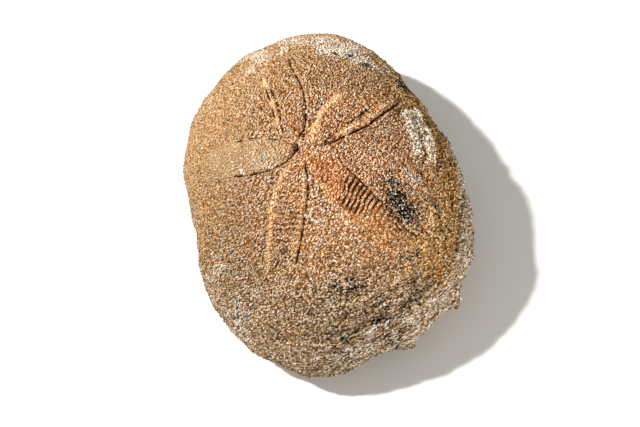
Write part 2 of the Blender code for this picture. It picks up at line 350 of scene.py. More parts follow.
# Patterns in the stone's colour and bump: size in millimetres, detail and roughness of each noise
MOTTLE = (2.6, 4.0, 0.65)
SPECK = (0.95, 2.0, 0.7)
FINE_GRIT = (0.31, 0.0, 0.5)
LAYERS = (0.8, 1.0, 0.5)
GRAIN_SIZE = 0.5
GRAIN_MIDDLE = 0.45
GRAIN_MIX = (1.3, 1.4)
GRAIN_TURN = 28.0
GRAIN_STRETCH = (1.7, 1.0, 1.0)
LAYER_STRETCH = (7.0, 1.0, 0.8)
LAYER_STRENGTH = 0.2
GREY_LAYER_STRENGTH = 1.1
RIB_RAGGED = 0.3
RIB_BUMP = 0.2
# A step towards the key light, so that each grain's colour is painted pale on its lit side and darker on its
# far side: a painted highlight and painted shade
PAINTED_HIGHLIGHT_STEP = (0.11, -0.04, 0.0)

# How much of the grain is left on each kind of stone
FINE_GRAIN = 0.6
GRAIN_LEFT = {"smooth": 0.65, "bare": 0.25, "worn": 0.8, "pale": 0.5}

# The edges of stains, chalk and grey stone, and how far mottling, specks and grain move them
STAIN_EDGE = (0.3, 0.8)
STAIN_SHIFTS = (1.0, 0.8, -0.5)
CHALK_EDGE = (0.12, 0.6)
CHALK_SHIFTS = (1.2, 1.0)
GREY_EDGE = (0.2, 0.8)
GREY_SHIFTS = (0.85, 1.8)

# What makes the stone's tone paler (+) or darker (-): below TONE_STOPS it is a hollow's, above them a tip's
TONE_GROUND = 0.48
TONE_LIFTS = {
    # rough is read a step towards the key light, so it paints a highlight on each grain's lit side and shade
    # on its far side
    "rough": 1.55,
    # hollow: darker in the fine relief's hollows, partly the stone's iron stain and partly painted shade
    "hollow": -0.1,
    "tone": 0.1,
    "tip": 0.05,
    "bare": 0.03,
    "speck": 0.25,
    "mottle": 0.15,
    "bright": 0.3,
    "smooth": -0.3,
}
TONE_STOPS = (0.0, 0.5, 1.05)
BRIGHT_TONES = (0.8, 1.0)
BRIGHT_WEATHERED = 0.7

# Spots: spacing, size and width of edge, and the mottling in which they start and are all there
# The first spots are near-white specks painted as glints
GLINT_SPOTS = (1.1, 0.26, 0.08, (-0.04, 0.04))
PORES = (1.6, 0.26, 0.05, (-0.06, 0.02))
PITS = (1.15, 0.34, 0.1, (-0.08, 0.0))
FINE_GLINTS = 0.75
WEATHERED_GLINTS = 0.4
SOUND_PORES = 0.3
GREY_PITS = 0.85
PALE_SPOTS = 0.2
PIT_STRENGTH = 0.8
LEAF_STRENGTH = 0.5

# Grooves' painted shade and tubes: full colour up to the first distance and none from the second, in
# millimetres
GROOVE_EDGE = (0.1, 0.5)
GROOVE_RAGGED = (0.7, 0.55)
TUBE_EDGE = (0.2, 0.45)
TUBE_STRENGTH = 0.8
LINE_RAGGED = 0.9
LINE_GAPS = 2.0
LINE_SHOWN = (0.2, 0.6)

# The stone's surface
DULLNESS = 0.84
SPECK_DULLNESS = 0.12
DULL_SPECKS = (-0.1, 0.1)
SPECULAR = 0.06
BUMP_DISTANCE = 2.0

# Colours as seen on screen, for hollows, for the surface between and for tips; the hollows' colour is partly
# the stone's iron stain and partly painted shade. In each: sound stone on the left, sound stone in the
# middle, two kinds of worn stone, dark stains, and chalk and crust
TONES = (
    ((162, 106, 54), (172, 96, 42), (138, 88, 26), (104, 76, 44), (16, 12, 7), (154, 114, 70)),
    ((208, 164, 116), (244, 190, 140), (232, 183, 117), (182, 154, 122), (84, 66, 48), (250, 230, 204)),
    ((230, 208, 178), (244, 222, 204), (230, 202, 162), (222, 206, 184), (200, 180, 158), (246, 240, 240)),
)
LEAF_COLOUR = (188, 166, 132)
# The spark colour is a painted glint
PAINTED_GLINT_COLOUR = (255, 252, 246)
# The groove colour is painted shade laid into the sunken grooves
GROOVE_SHADE_COLOUR = (46, 26, 10)
PORE_COLOUR = (24, 16, 8)
PIT_COLOUR = (74, 48, 20)
TUBE_COLOUR = (240, 224, 200)

# Camera, in the object's own frame: angles in degrees, lengths in millimetres, and the near clip in metres
CAMERA_ELEVATION = 62.0
CAMERA_ROLL = 15.5
CAMERA_DISTANCE = 500.0
CAMERA_TARGET_HEIGHT = 19.2
CAMERA_AIM_RIGHT = 1.94
CAMERA_AIM_UP = -5.19
LENS = 105.24
SENSOR = 36.0
CLIP_START = 0.01

# Floor and sky
FLOOR_SIZE = 2.0
FLOOR_COLOUR = (0.78, 0.77, 0.75, 1.0)
FLOOR_ROUGHNESS = 0.9
SKY_COLOUR = (1.0, 0.98, 0.95, 1.0)
SKY_STRENGTH = 0.38
LIGHT_TINT = (1.0, 0.99, 0.97)

# Lights: toward (right, up and back as the camera sees), distance and size in metres, and power in watts
LIGHTS = {
    "key": ((-0.66, 0.4, 0.64), 0.7, 0.05, 10.5),
    "fill": ((0.66, -0.62, 0.5), 0.8, 0.3, 10.6),
}


def smooth_step(values, low, high):
    """0 below low, 1 above high, and smooth between."""
    share = np.clip((values - low) / (high - low), 0.0, 1.0)
    return share * share * (3.0 - 2.0 * share)


def bell(distance, width):
    """1 at no distance, fading to 0 beyond about twice the width."""
    return np.exp(-((distance / width) ** 2))


def angle_between(azimuth, degrees):
    """Degrees from one direction to each azimuth (given in radians), from -180 to 180."""
    return (np.degrees(azimuth) - degrees + 180.0) % 360.0 - 180.0


def seen_from(x, y, degrees):
    """How far each point lies along a direction, and how far to its left."""
    turn = math.radians(degrees)
    return x * math.cos(turn) + y * math.sin(turn), y * math.cos(turn) - x * math.sin(turn)


def girth_radius(azimuth):
    """The outline at its widest: a smooth closed curve through GIRTH_RADII, evenly spaced from +X."""
    count = len(GIRTH_RADII)
    waves = np.fft.rfft(GIRTH_RADII) / count
    radius = np.full_like(azimuth, waves[0].real)
    for order, wave in enumerate(waves[1:], start=1):
        share = 1.0 if 2 * order == count else 2.0
        radius += share * abs(wave) * np.cos(order * azimuth + np.angle(wave))
    return radius


def noise_at(points, size, seed):
    """Smooth noise from about -1 to 1, with features of that size."""
    offset = Vector([step * seed for step in NOISE_STEPS])
    return np.array([noise.noise(Vector(point) / size + offset) for point in points]) * NOISE_GAIN


def body_points(directions):
    """Maps unit directions onto the smooth body."""
    azimuth = np.arctan2(directions[:, 1], directions[:, 0])
    reach = np.hypot(directions[:, 0], directions[:, 1]).clip(0.0, 1.0)
    rise = np.abs(directions[:, 2])
    radius = reach * girth_radius(azimuth)
    upper = GIRTH_HEIGHT + (HEIGHT - GIRTH_HEIGHT) * rise**DOME_POWER
    lower = GIRTH_HEIGHT * (1.0 - np.sqrt(1.0 - reach**UNDERSIDE_POWER))
    height = np.where(directions[:, 2] >= 0.0, upper, lower)
    return np.stack([radius * np.cos(azimuth), radius * np.sin(azimuth), height], axis=1)


def petal_places(x, y):
    """For each petal: how far along in millimetres and as a share of its length, how far across, the share of
    the way out to its border, and how strongly it shows."""
    for direction, length, half_width, bend, *_ in PETALS.values():
        along, across = seen_from(x, y, direction)
        share = np.clip(along / length, 0.0, 1.0)
        across = across - bend * share**2
        side = np.abs(across) / (half_width * np.sin(math.pi * (PETAL_TAPER[0] + PETAL_TAPER[1] * share)))
        shown = smooth_step(along, PETAL_BEGINS, PETAL_START)
        shown = shown * (1.0 - smooth_step(along, PETAL_FADES_FROM * length, length))
        yield along, share, across, side, shown


def petal_ribs(x, y, ripple, roughness):
    """How high the ribs across the petals are, and how many lie between a point and the petal's start."""
    height = np.zeros_like(x)
    count = np.zeros_like(x)
    least, patchy, most = RIBS_PATCHY
    places = zip(PETALS.values(), petal_places(x, y))
    for (*_, rib_height, lean), (along, share, across, side, shown) in places:
        inside = smooth_step(share, *RIBS_START) * (1.0 - smooth_step(share, *RIBS_END))
        inside *= (1.0 - smooth_step(side, *RIBS_EDGE)) * np.clip(least + patchy * roughness, 0.0, most)
        here = shown * inside * rib_height
        step = RIB_STEP * smooth_step(across, -RIB_STEP_HALF_WIDTH, RIB_STEP_HALF_WIDTH)
        order = (along + lean * across) / RIB_PITCH + RIB_WAVE * ripple + step
        count = np.where(here > height, order, count)
        height = np.maximum(height, here)
    return height, count


def petal_relief(x, y, ripple, roughness):
    """Gently swollen petals with ribs across them."""
    height, count = petal_ribs(x, y, ripple, roughness)
    relief = height * np.cos(2.0 * math.pi * count)
    for (*_, swell, _, _), (*_, side, shown) in zip(PETALS.values(), petal_places(x, y)):
        relief += shown * swell * np.clip(1.0 - side**2, 0.0, 1.0)
    return relief


def path_distance(x, y, path):
    """Distance in plan from a path (above 0 on its left), and from there to the path's nearer end."""
    starts, ends = np.array(path[:-1]), np.array(path[1:])
    lengths = np.hypot(*(ends - starts).T)
    total = lengths.sum()
    nearest = np.full_like(x, np.inf)
    end_distance = np.zeros_like(x)
    passed = 0.0
    for (x0, y0), (x1, y1), length in zip(starts, ends, lengths):
        ux, uy = (x1 - x0) / length, (y1 - y0) / length
        along = np.clip((x - x0) * ux + (y - y0) * uy, 0.0, length)
        distance = np.hypot(x - x0 - along * ux, y - y0 - along * uy)
        left = np.where((y - y0) * ux - (x - x0) * uy >= 0.0, 1.0, -1.0)
        closer = distance < np.abs(nearest)
        nearest = np.where(closer, left * distance, nearest)
        end_distance = np.where(closer, np.minimum(passed + along, total - passed - along), end_distance)
        passed += length
    return nearest, end_distance


def line_relief(x, y, lines):
    """The raised or sunken lines, each fading out at its ends."""
    relief = np.zeros_like(x)
    for height, half_width, path in lines:
        distance, end_distance = path_distance(x, y, path)
        relief += height * bell(distance, half_width) * smooth_step(end_distance, *LINE_END)
    return relief


def apex_relief(x, y):
    """The sunken disc in the middle of the petals, with its pit."""
    disc = APEX_DISC_DEPTH * bell(np.hypot(x, y), APEX_DISC_RADIUS)
    pit = APEX_PIT_DEPTH * bell(np.hypot(x - APEX_PIT[0], y - APEX_PIT[1]), APEX_PIT_RADIUS)
    return -disc - pit


def crust_distance(x, y):
    """Distance from the nearer of the crust's edges."""
    return np.min([np.abs(path_distance(x, y, path)[0]) for path in CRUST_PATHS], axis=0)


def crust_share(x, y, roughness):
    """1 on the crust and 0 beside it, with a ragged edge between."""
    away = crust_distance(x, y) + CRUST_RAGGED * roughness
    return 1.0 - smooth_step(away, CRUST_FULL * CRUST_WIDTH, CRUST_WIDTH)


def crust_paleness(x, y, roughness):
    """The crust is palest along its two edges."""
    edge = bell(crust_distance(x, y), CRUST_EDGE_WIDTH)
    return crust_share(x, y, roughness) * (CRUST_PALENESS[0] + CRUST_PALENESS[1] * edge)


def facing_side(azimuth, side):
    """1 facing that side, -1 facing away from it."""
    return np.cos(azimuth - math.radians(side))


def worn_share(azimuth, reach, ripple):
    """How worn the surface is: 0 on the sound test, 1 on bare stone round the right and the back."""
    facing = smooth_step(facing_side(azimuth, WORN_SIDE), *WORN_FACING)
    start = WORN_START - WORN_LEAD * facing
    worn = smooth_step(reach + WORN_RIPPLE * ripple, start - WORN_EDGE, start + WORN_EDGE)
    return worn * (WORN_AWAY + (1.0 - WORN_AWAY) * facing)


def pit_relief(points):
    """Round pits scattered over the worn flank."""
    random = np.random.default_rng(PIT_SEED)
    azimuths = np.radians(PIT_SIDE + PIT_SPREAD * random.uniform(-1.0, 1.0, PIT_COUNT))
    tilts = np.radians(random.uniform(*PIT_TILTS, PIT_COUNT))
    radii = random.uniform(*PIT_RADII, PIT_COUNT)
    plan = np.cos(tilts)
    centres = body_points(np.stack([plan * np.cos(azimuths), plan * np.sin(azimuths), np.sin(tilts)], axis=1))
    relief = np.zeros(len(points))
    for centre, radius in zip(centres, radii):
        relief -= PIT_DEPTH * bell(np.linalg.norm(points - centre, axis=1), radius)
    return relief


def margin_relief(azimuth, height):
    """Broken tips and chips along the widest edge."""
    relief = np.zeros_like(azimuth)
    for direction, middle, half_angle, stand_out in MARGIN_CHIPS:
        near = bell(angle_between(azimuth, direction), half_angle) * bell(height - middle, CHIP_REACH)
        relief += stand_out * near
    return relief


def underside_relief(x, y):
    """Along the downward normal: the hollow and mouth in the middle, the furrows, and the vent."""
    radius = np.hypot(x, y)
    hollow = HOLLOW_DEPTH * (1.0 - smooth_step(radius, 0.0, HOLLOW_RADIUS))
    wall = [share * MOUTH_RADIUS for share in MOUTH_WALL]
    mouth = MOUTH_DEPTH * (1.0 - smooth_step(radius, *wall))
    vent = VENT_DEPTH * bell(np.hypot(x - VENT_CENTRE[0], y - VENT_CENTRE[1]), VENT_RADIUS)
    relief = -hollow - mouth - vent
    for direction, *_ in PETALS.values():
        along, across = seen_from(x, y, direction)
        end = smooth_step(along, FURROW_FADES_FROM * FURROW_REACH, FURROW_REACH)
        shown = smooth_step(along, *FURROW_START) * (1.0 - end)
        relief -= FURROW_DEPTH * bell(across, FURROW_WIDTH) * shown
    return relief


def form_relief(directions, points, ripple, roughness, worn):
    """How far each point of the smooth body moves along its normal: the forms that the solid has too."""
    x, y, z = points.T
    azimuth = np.arctan2(y, x)
    above = smooth_step(directions[:, 2], UNDERSIDE_FROM, 0.0)
    ledges = noise_at(points * (1.0, 1.0, LEDGE_STRETCH), LEDGE_LENGTH, LEDGE_SEED)
    lumps = LUMP_HEIGHT * ripple + worn * (WORN_LUMP_HEIGHT * roughness + LEDGE_HEIGHT * ledges * above)
    sound = petal_relief(x, y, ripple, roughness) + line_relief(x, y, RIDGES) - line_relief(x, y, GROOVES)
    crust = CRUST_HEIGHT * crust_share(x, y, roughness)
    upper = (1.0 - worn) * sound + apex_relief(x, y) + crust + pit_relief(points)
    lower = underside_relief(x, y)
    return lumps + np.where(directions[:, 2] >= 0.0, upper, lower) + margin_relief(azimuth, z)


def coarse_share(x, y):
    """How coarse the surface is: 0 at the front left, 1 at the back right."""
    return smooth_step(seen_from(x, y, COARSE_TOWARD)[0], COARSE_FROM, COARSE_TO)


def bare_share(x, y):
    """1 on the smooth ridges and in the grooves, which carry no bumps."""
    ridges = line_relief(x, y, RIDGES) / RIDGE_FULL
    grooves = line_relief(x, y, GROOVES) / GROOVE_FULL
    return np.clip(BARE_SHARE * np.maximum(ridges, grooves), 0.0, 1.0)


def petal_smoothness(x, y, shares=PETAL_SMOOTHNESS):
    """A share for each petal's inside: how much finer its surface is, or how pale."""
    smooth = np.zeros_like(x)
    for smoothness, (*_, side, shown) in zip(shares, petal_places(x, y)):
        smooth += smoothness * shown * (1.0 - smooth_step(side, *PETAL_EDGE))
    return np.clip(smooth, 0.0, 1.0)


def fine_relief(points, worn):
    """The worm-like grit between the spine bases, and coarser grit on the worn stone."""
    x, y, _ = points.T
    worms = 1.0 - 2.0 * np.abs(noise_at(points, WORM_SIZE, WORM_SEED))
    grit = noise_at(points, GRIT_SIZE, GRIT_SEED)
    finer = (1.0 - BARE_FINENESS * bare_share(x, y)) * (1.0 - PETAL_FINENESS * petal_smoothness(x, y))
    finer = finer * (FINE_SIDE_GRIT + (1.0 - FINE_SIDE_GRIT) * coarse_share(x, y))
    ledges = noise_at(points * (1.0, 1.0, LEDGE_STRETCH), FINE_LEDGE_LENGTH, FINE_LEDGE_SEED)
    return WORM_HEIGHT * finer * worms + worn * (GRIT_HEIGHT * grit + FINE_LEDGE_HEIGHT * ledges)


def line_places(x, y, lines, strengths):
    """Distance from the nearest of the lines (above 0 on its left), and how strongly it shows there."""
    nearest = np.full_like(x, np.inf)
    shown = np.zeros_like(x)
    for strength, (_, _, path) in zip(strengths, lines):
        distance, end_distance = path_distance(x, y, path)
        closer = np.abs(distance) < np.abs(nearest)
        near = 1.0 - smooth_step(np.abs(distance), LINE_FULL * LINE_REACH, LINE_REACH)
        near *= strength * smooth_step(end_distance, 0.0, LINE_COLOUR_FADE)
        shown = np.where(closer, near, shown)
        nearest = np.where(closer, distance, nearest)
    return nearest, shown


def plain_mesh(name, make_shape, **sizes):
    """A mesh made by one of bmesh's own shape functions."""
    bm = bmesh.new()
    make_shape(bm, **sizes)
    mesh = bpy.data.meshes.new(name)
    bm.to_mesh(mesh)
    bm.free()
    return mesh


def flat_coordinates(mesh):
    """A mesh's vertex positions as rows of numbers."""
    values = np.empty(len(mesh.vertices) * 3, np.float32)
    mesh.vertices.foreach_get("co", values)
    return values.reshape(-1, 3).astype(float)


def store_share(mesh, name, values):
    """Keeps one number from 0 to 1 at every vertex, for the material to read."""
    attribute = mesh.attributes.new(name, "FLOAT", "POINT")
    attribute.data.foreach_set("value", np.clip(values, 0.0, 1.0).astype(np.float32))


def ball_directions(mesh):
    """Unit directions of a ball's vertices, moved so that the dome gets more of them than the underside."""
    directions = flat_coordinates(mesh)
    passed = (1.0 - directions[:, 2]) / 2.0
    upper = 1.0 - passed / UPPER_SHARE
    lower = -(passed - UPPER_SHARE) / (1.0 - UPPER_SHARE)
    rise = np.where(passed < UPPER_SHARE, upper, lower)
    reach = np.hypot(directions[:, 0], directions[:, 1])
    spread = np.sqrt(1.0 - rise**2) / np.maximum(reach, 1e-9)
    return np.stack([directions[:, 0] * spread, directions[:, 1] * spread, rise], axis=1)


def stained(x, y, stains):
    """How strongly the strongest of the stains shows at a point."""
    share = np.zeros_like(x)
    for middle_x, middle_y, radius, strength in stains:
        share = np.maximum(share, strength * bell(np.hypot(x - middle_x, y - middle_y), radius))
    return share


def weathered_share(azimuth, reach, ripple, blotch):
    """How far the colour has turned to ochre and grey. It turns nearer the apex on the worn side."""
    facing = facing_side(azimuth, WORN_SIDE)
    out = reach + WEATHERED_RIPPLE * ripple + WEATHERED_BLOTCHES * blotch
    out = out - WEATHERED_LEAD * np.clip(facing, 0.0, 1.0)
    facing = WEATHERED_AWAY + (1.0 - WEATHERED_AWAY) * smooth_step(facing, *WEATHERED_FACING)
    return smooth_step(out, *WEATHERED_EDGE) * facing


def orange_share(x, y, blotch):
    """How orange the sound stone is: most in the middle, less where it fades."""
    away = np.hypot(x - ORANGE_MIDDLE[0], y - ORANGE_MIDDLE[1])
    return bell(away + ORANGE_BLOTCHES * blotch, ORANGE_RADIUS) * (1.0 - stained(x, y, ORANGE_FADES))


def grey_share(x, y, azimuth, rim, lower, roughness):
    """How grey the weathered stone is: at the back, round the rim and below, but not on the ochre streak."""
    side = smooth_step(facing_side(azimuth, GREY_SIDE), *GREY_FACING)
    streak = bell(path_distance(x, y, OCHRE_STREAK)[0] + roughness, OCHRE_STREAK_WIDTH)
    return np.maximum(side, np.maximum(rim, UNDERSIDE_GREY * lower)) * (1.0 - streak)


def store_lines(mesh, points, worn, upper):
    """Writes where the grooves' painted shade and the worm tubes are drawn, and how far each point lies from
    the nearest.
    """
    x, y, _ = points.T
    breaks = GROOVE_BREAKS + GROOVE_BREAKS * noise_at(points, GROOVE_BREAK_SIZE, BREAK_SEED)
    breaks = np.clip(breaks, 0.0, 1.0)
    kinds = {"groove_shade": (GROOVES, GROOVE_SHADE_DARKNESS), "tube": (WORM_TUBES, TUBE_PALENESS)}
    for name, (lines, strengths) in kinds.items():
        distance, shown = line_places(x, y, lines, strengths)
        store_share(mesh, name, shown * breaks * (1.0 - worn) * upper)
        store_share(mesh, name + "_side", 0.5 + 0.5 * distance / LINE_REACH)


def store_finish(mesh, points, ripple, roughness):
    """Writes at each vertex what the material reads, each as a share from 0 to 1."""
    x, y, z = points.T
    azimuth = np.arctan2(y, x)
    reach = np.hypot(x, y) / girth_radius(azimuth)
    blotch = noise_at(points, BLOTCH_SIZE, BLOTCH_SEED)
    lower = 1.0 - smooth_step(z, GIRTH_HEIGHT - UNDERSIDE_TOP, GIRTH_HEIGHT)
    upper = 1.0 - lower
    rim = smooth_step(reach + RIM_RIPPLE * ripple, *RIM_EDGE)
    worn = np.maximum(worn_share(azimuth, reach, ripple), UNDERSIDE_COLOUR * lower)
    sound = (1.0 - worn) * upper
    chalk = stained(x + roughness, y + ripple, CHALK_STAINS)
    pale = np.maximum(np.maximum(chalk, crust_paleness(x, y, roughness)), RIM_PALENESS * rim * worn)
    weathered = weathered_share(azimuth, reach, ripple, blotch)
    worms = np.abs(noise_at(points, WORM_SIZE, WORM_SEED)) * (1.0 - PETAL_FINENESS * petal_smoothness(x, y))
    rib_height, count = petal_ribs(x, y, ripple, roughness)
    shares = {
        "worn": worn,
        "weathered": np.maximum(weathered, UNDERSIDE_COLOUR * lower),
        "orange": orange_share(x, y, blotch) * upper,
        "dark": stained(x + roughness, y + ripple, DARK_STAINS) * upper,
        "pale": pale * upper,
        "leaf": petal_smoothness(x, y, LEAF_PALENESS) * upper,
        "bare": bare_share(x, y) * sound,
        "smooth": petal_smoothness(x, y) * sound,
        "coarse": coarse_share(x, y),
        "grey": grey_share(x, y, azimuth, rim, lower, roughness),
        "rib_height": rib_height / RIB_FULL * sound,
        "rib_place": (count + RIB_COUNT_START) / RIB_COUNT,
        "hollow": worms / WORM_FULL * (HOLLOW_FINE_SIDE + (1.0 - HOLLOW_FINE_SIDE) * coarse_share(x, y)),
    }
    for name, values in shares.items():
        store_share(mesh, name, values)
    store_lines(mesh, points, worn, upper)


def stone_mesh():
    """The whole stone: a ball pulled onto the body, moved by the relief and cut flat where it rests."""
    mesh = plain_mesh("stone_surface", bmesh.ops.create_icosphere, subdivisions=BALL_DIVISIONS, radius=1.0)
    directions = ball_directions(mesh)
    points = body_points(directions)
    mesh.vertices.foreach_set("co", points.ravel())
    mesh.update()
    normals = np.empty(len(mesh.vertices) * 3, np.float32)
    mesh.vertex_normals.foreach_get("vector", normals)
    ripple = noise_at(points, LUMP_SIZE, LUMP_SEED)
    roughness = noise_at(points, WORN_LUMP_SIZE, WORN_LUMP_SEED)
    azimuth = np.arctan2(points[:, 1], points[:, 0])
    reach = np.hypot(directions[:, 0], directions[:, 1])
    above = smooth_step(directions[:, 2], UNDERSIDE_FROM, 0.0)
    worn = above * worn_share(azimuth, reach, ripple) + (1.0 - above) * UNDERSIDE_WORN
    store_finish(mesh, points, ripple, roughness)
    relief = form_relief(directions, points, ripple, roughness, worn) + fine_relief(points, worn)
    points += normals.reshape(-1, 3) * relief[:, None]
    points += (*APEX, -BASE_CUT)
    points[:, 2] = np.maximum(points[:, 2], 0.0)
    mesh.vertices.foreach_set("co", (points * MM).ravel())
    mesh.update()
    return mesh


def finish_piece(piece, material):
    """Turns the piece's modifiers into a plain mesh, gives it its material and hangs it on the frame."""
    graph = bpy.context.evaluated_depsgraph_get()
    mesh = bpy.data.meshes.new_from_object(piece.evaluated_get(graph), depsgraph=graph)
    piece.modifiers.clear()
    piece.data = mesh
    mesh.shade_smooth()
    mesh.materials.clear()
    mesh.materials.append(material)
    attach(piece, BODY)


def link_piece(name, data):
    """A new object in the scene, at the origin."""
    piece = bpy.data.objects.new(name, data)
    bpy.context.scene.collection.objects.link(piece)
    return piece


def make_stone(material):
    """The stone in one piece, thinned to its share of triangles, with its finish written on it."""
    stone = link_piece("stone", stone_mesh())
    thin = stone.modifiers.new("thin", "DECIMATE")
    thin.ratio = STONE_TRIANGLES / len(stone.data.polygons)
    finish_piece(stone, material)
    return stone


class Value:
    """A node's output, so that maths on it is written as an expression."""

    def __init__(self, maker, socket):
        self.maker = maker
        self.socket = socket

    def beside(self, name):
        """Another output of the same node."""
        return Value(self.maker, self.socket.node.outputs[name])

    def __add__(self, other):
        return self.maker.math("ADD", self, other)

    def __sub__(self, other):
        return self.maker.math("SUBTRACT", self, other)

    def __rsub__(self, other):
        return self.maker.math("SUBTRACT", other, self)

    def __mul__(self, other):
        return self.maker.math("MULTIPLY", self, other)

    __radd__ = __add__
    __rmul__ = __mul__


class Maker:
    """Adds nodes to one tree."""

    def __init__(self, tree):
        self.tree = tree

    def node(self, kind, settings, sockets, output=0):
        """A node of that kind: its settings are set first, then its sockets get values or links."""
        node = self.tree.nodes.new(kind)
        for name, value in settings.items():
            setattr(node, name, value)
        for key, value in sockets.items():
            self.put(node.inputs[key], value)
        return Value(self, node.outputs[output])

    def put(self, socket, value):
        if isinstance(value, Value):
            self.tree.links.new(value.socket, socket)
        else:
            socket.default_value = value

    def math(self, operation, first, second):
        return self.node("ShaderNodeMath", {"operation": operation}, {0: first, 1: second})


class MaterialMaker(Maker):
    """Makes one material."""

    def __init__(self, name):
        self.material = bpy.data.materials.new(name)
        self.material.use_nodes = True
        super().__init__(self.material.node_tree)
        self.shader = self.tree.nodes["Principled BSDF"]

    def range(self, value, low, high):
        """0 below low, 1 above high, and smooth between."""
        settings = {"interpolation_type": "SMOOTHSTEP"}
        return self.node("ShaderNodeMapRange", settings, {"Value": value, "From Min": low, "From Max": high})

    def blend(self, share, first, second, mode="MIX"):
        """One colour turning into another."""
        settings = {"data_type": "RGBA", "blend_type": mode}
        return self.node("ShaderNodeMix", settings, {0: share, 6: first, 7: second}, output=2)

    def share(self, name):
        """A number kept at the piece's vertices."""
        return self.node("ShaderNodeAttribute", {"attribute_name": name}, {}, output=2)

    def place(self):
        return self.node("ShaderNodeTexCoord", {}, {}, output=3)

    def mapping(self, place, degrees, stretch):
        """The place seen turned about Z, then drawn out by stretch along each axis."""
        sockets = {"Vector": place, "Rotation": (0.0, 0.0, math.radians(degrees)), "Scale": stretch}
        return self.node("ShaderNodeMapping", {"vector_type": "TEXTURE"}, sockets)

    def shifted(self, place, step_mm):
        """The place a step away."""
        step = tuple(length * MM for length in step_mm)
        return self.node("ShaderNodeVectorMath", {"operation": "ADD"}, {0: place, 1: step})

    def noise(self, place, size_mm, detail, roughness):
        """Smooth noise from about -0.5 to 0.5."""
        settings = {"noise_dimensions": "3D"}
        sockets = {"Vector": place, "Scale": 1.0 / (size_mm * MM), "Detail": detail, "Roughness": roughness}
        return self.node("ShaderNodeTexNoise", settings, sockets) - 0.5

    def cells(self, place, size_mm):
        """Distance to the nearest of scattered points, 0 at the point."""
        sockets = {"Vector": place, "Scale": 1.0 / (size_mm * MM)}
        return self.node("ShaderNodeTexVoronoi", {}, sockets)

    def line(self, name, ragged, edge):
        """1 on the named lines, 0 away from them, with a ragged edge between and gaps along them."""
        away = self.math("ABSOLUTE", self.share(name + "_side") - 0.5, 0.0) * (2.0 * LINE_REACH)
        near = 1.0 - self.range(away + ragged * LINE_RAGGED, *edge)
        return near * self.range(self.share(name) + ragged * LINE_GAPS, *LINE_SHOWN)

    def spots(self, place, mottle, spacing_mm, radius, edge, where):
        """Small spots at scattered points, in the places that the mottling picks."""
        spot = self.range(radius - self.cells(place, spacing_mm), 0.0, edge)
        return spot * self.range(mottle, *where)


def colour(red, green, blue):
    """A colour given as it looks on screen, from 0 to 255, turned into light."""
    return tuple((channel / 255.0) ** 2.2 for channel in (red, green, blue)) + (1.0,)


def grain_pattern(make, place):
    """Fine grit, and the same with the grains that it roughens: high on a grain and low between grains."""
    drawn = make.mapping(place, GRAIN_TURN, GRAIN_STRETCH)
    fine = make.noise(drawn, *FINE_GRIT)
    gap = make.cells(drawn, GRAIN_SIZE) - GRAIN_MIDDLE
    return fine, fine * GRAIN_MIX[0] - gap * GRAIN_MIX[1]


def grain_strength(make):
    """How strongly the grain shows: less on smooth, bare, worn and pale stone, more where it is coarse."""
    strength = FINE_GRAIN + (1.0 - FINE_GRAIN) * make.share("coarse")
    for name, left in GRAIN_LEFT.items():
        strength = strength * (1.0 - (1.0 - left) * make.share(name))
    return strength


def rib_pattern(make, ragged):
    """The petals' cross ribs, sharper than the surface alone has them."""
    count = make.share("rib_place") * RIB_COUNT + ragged * RIB_RAGGED
    return make.math("COSINE", count * (2.0 * math.pi), 0.0) * make.share("rib_height")


def stone_tones(make, mottle, speck, rough):
    """The stone's colour in hollows, between and on tips, with its weathering, chalk and stains."""
    stain = make.share("dark") + mottle * STAIN_SHIFTS[0] + speck * STAIN_SHIFTS[1] + rough * STAIN_SHIFTS[2]
    stain = make.range(stain, *STAIN_EDGE)
    chalk = make.range(make.share("pale") + mottle * CHALK_SHIFTS[0] + speck * CHALK_SHIFTS[1], *CHALK_EDGE)
    grey = make.range(make.share("grey") * GREY_SHIFTS[0] + mottle * GREY_SHIFTS[1], *GREY_EDGE)
    for tan, rust, ochre, ash, black, white in TONES:
        part = make.blend(make.share("orange"), colour(*tan), colour(*rust))
        part = make.blend(make.share("weathered"), part, make.blend(grey, colour(*ochre), colour(*ash)))
        part = make.blend(chalk, part, colour(*white))
        yield make.blend(stain, part, colour(*black))


def tone_lift(make, patterns):
    """How pale the stone is at a point, from its hollows to its tips."""
    lift = TONE_GROUND
    for name, weight in TONE_LIFTS.items():
        amount = patterns[name] if name in patterns else make.share(name)
        lift = lift + amount * weight
    return lift


def stone_spots(make, place, mottle):
    """Painted glints as bright white specks all over, black pores on the worn stone and brown pits on the
    weathered stone.
    """
    pale = 1.0 - (1.0 - PALE_SPOTS) * make.share("pale")
    coarse, worn, weathered = make.share("coarse"), make.share("worn"), make.share("weathered")
    # Painted glints: near-white specks on the grains
    painted_glint = make.spots(place, mottle, *GLINT_SPOTS) * (FINE_GLINTS + (1.0 - FINE_GLINTS) * coarse)
    painted_glint = painted_glint * (1.0 - (1.0 - WEATHERED_GLINTS) * weathered)
    pore = make.spots(place, mottle, *PORES) * (SOUND_PORES + (1.0 - SOUND_PORES) * worn) * pale
    pit = make.spots(place, mottle, *PITS) * weathered * (1.0 - (1.0 - GREY_PITS) * make.share("grey")) * pale
    return painted_glint, pore, pit * PIT_STRENGTH


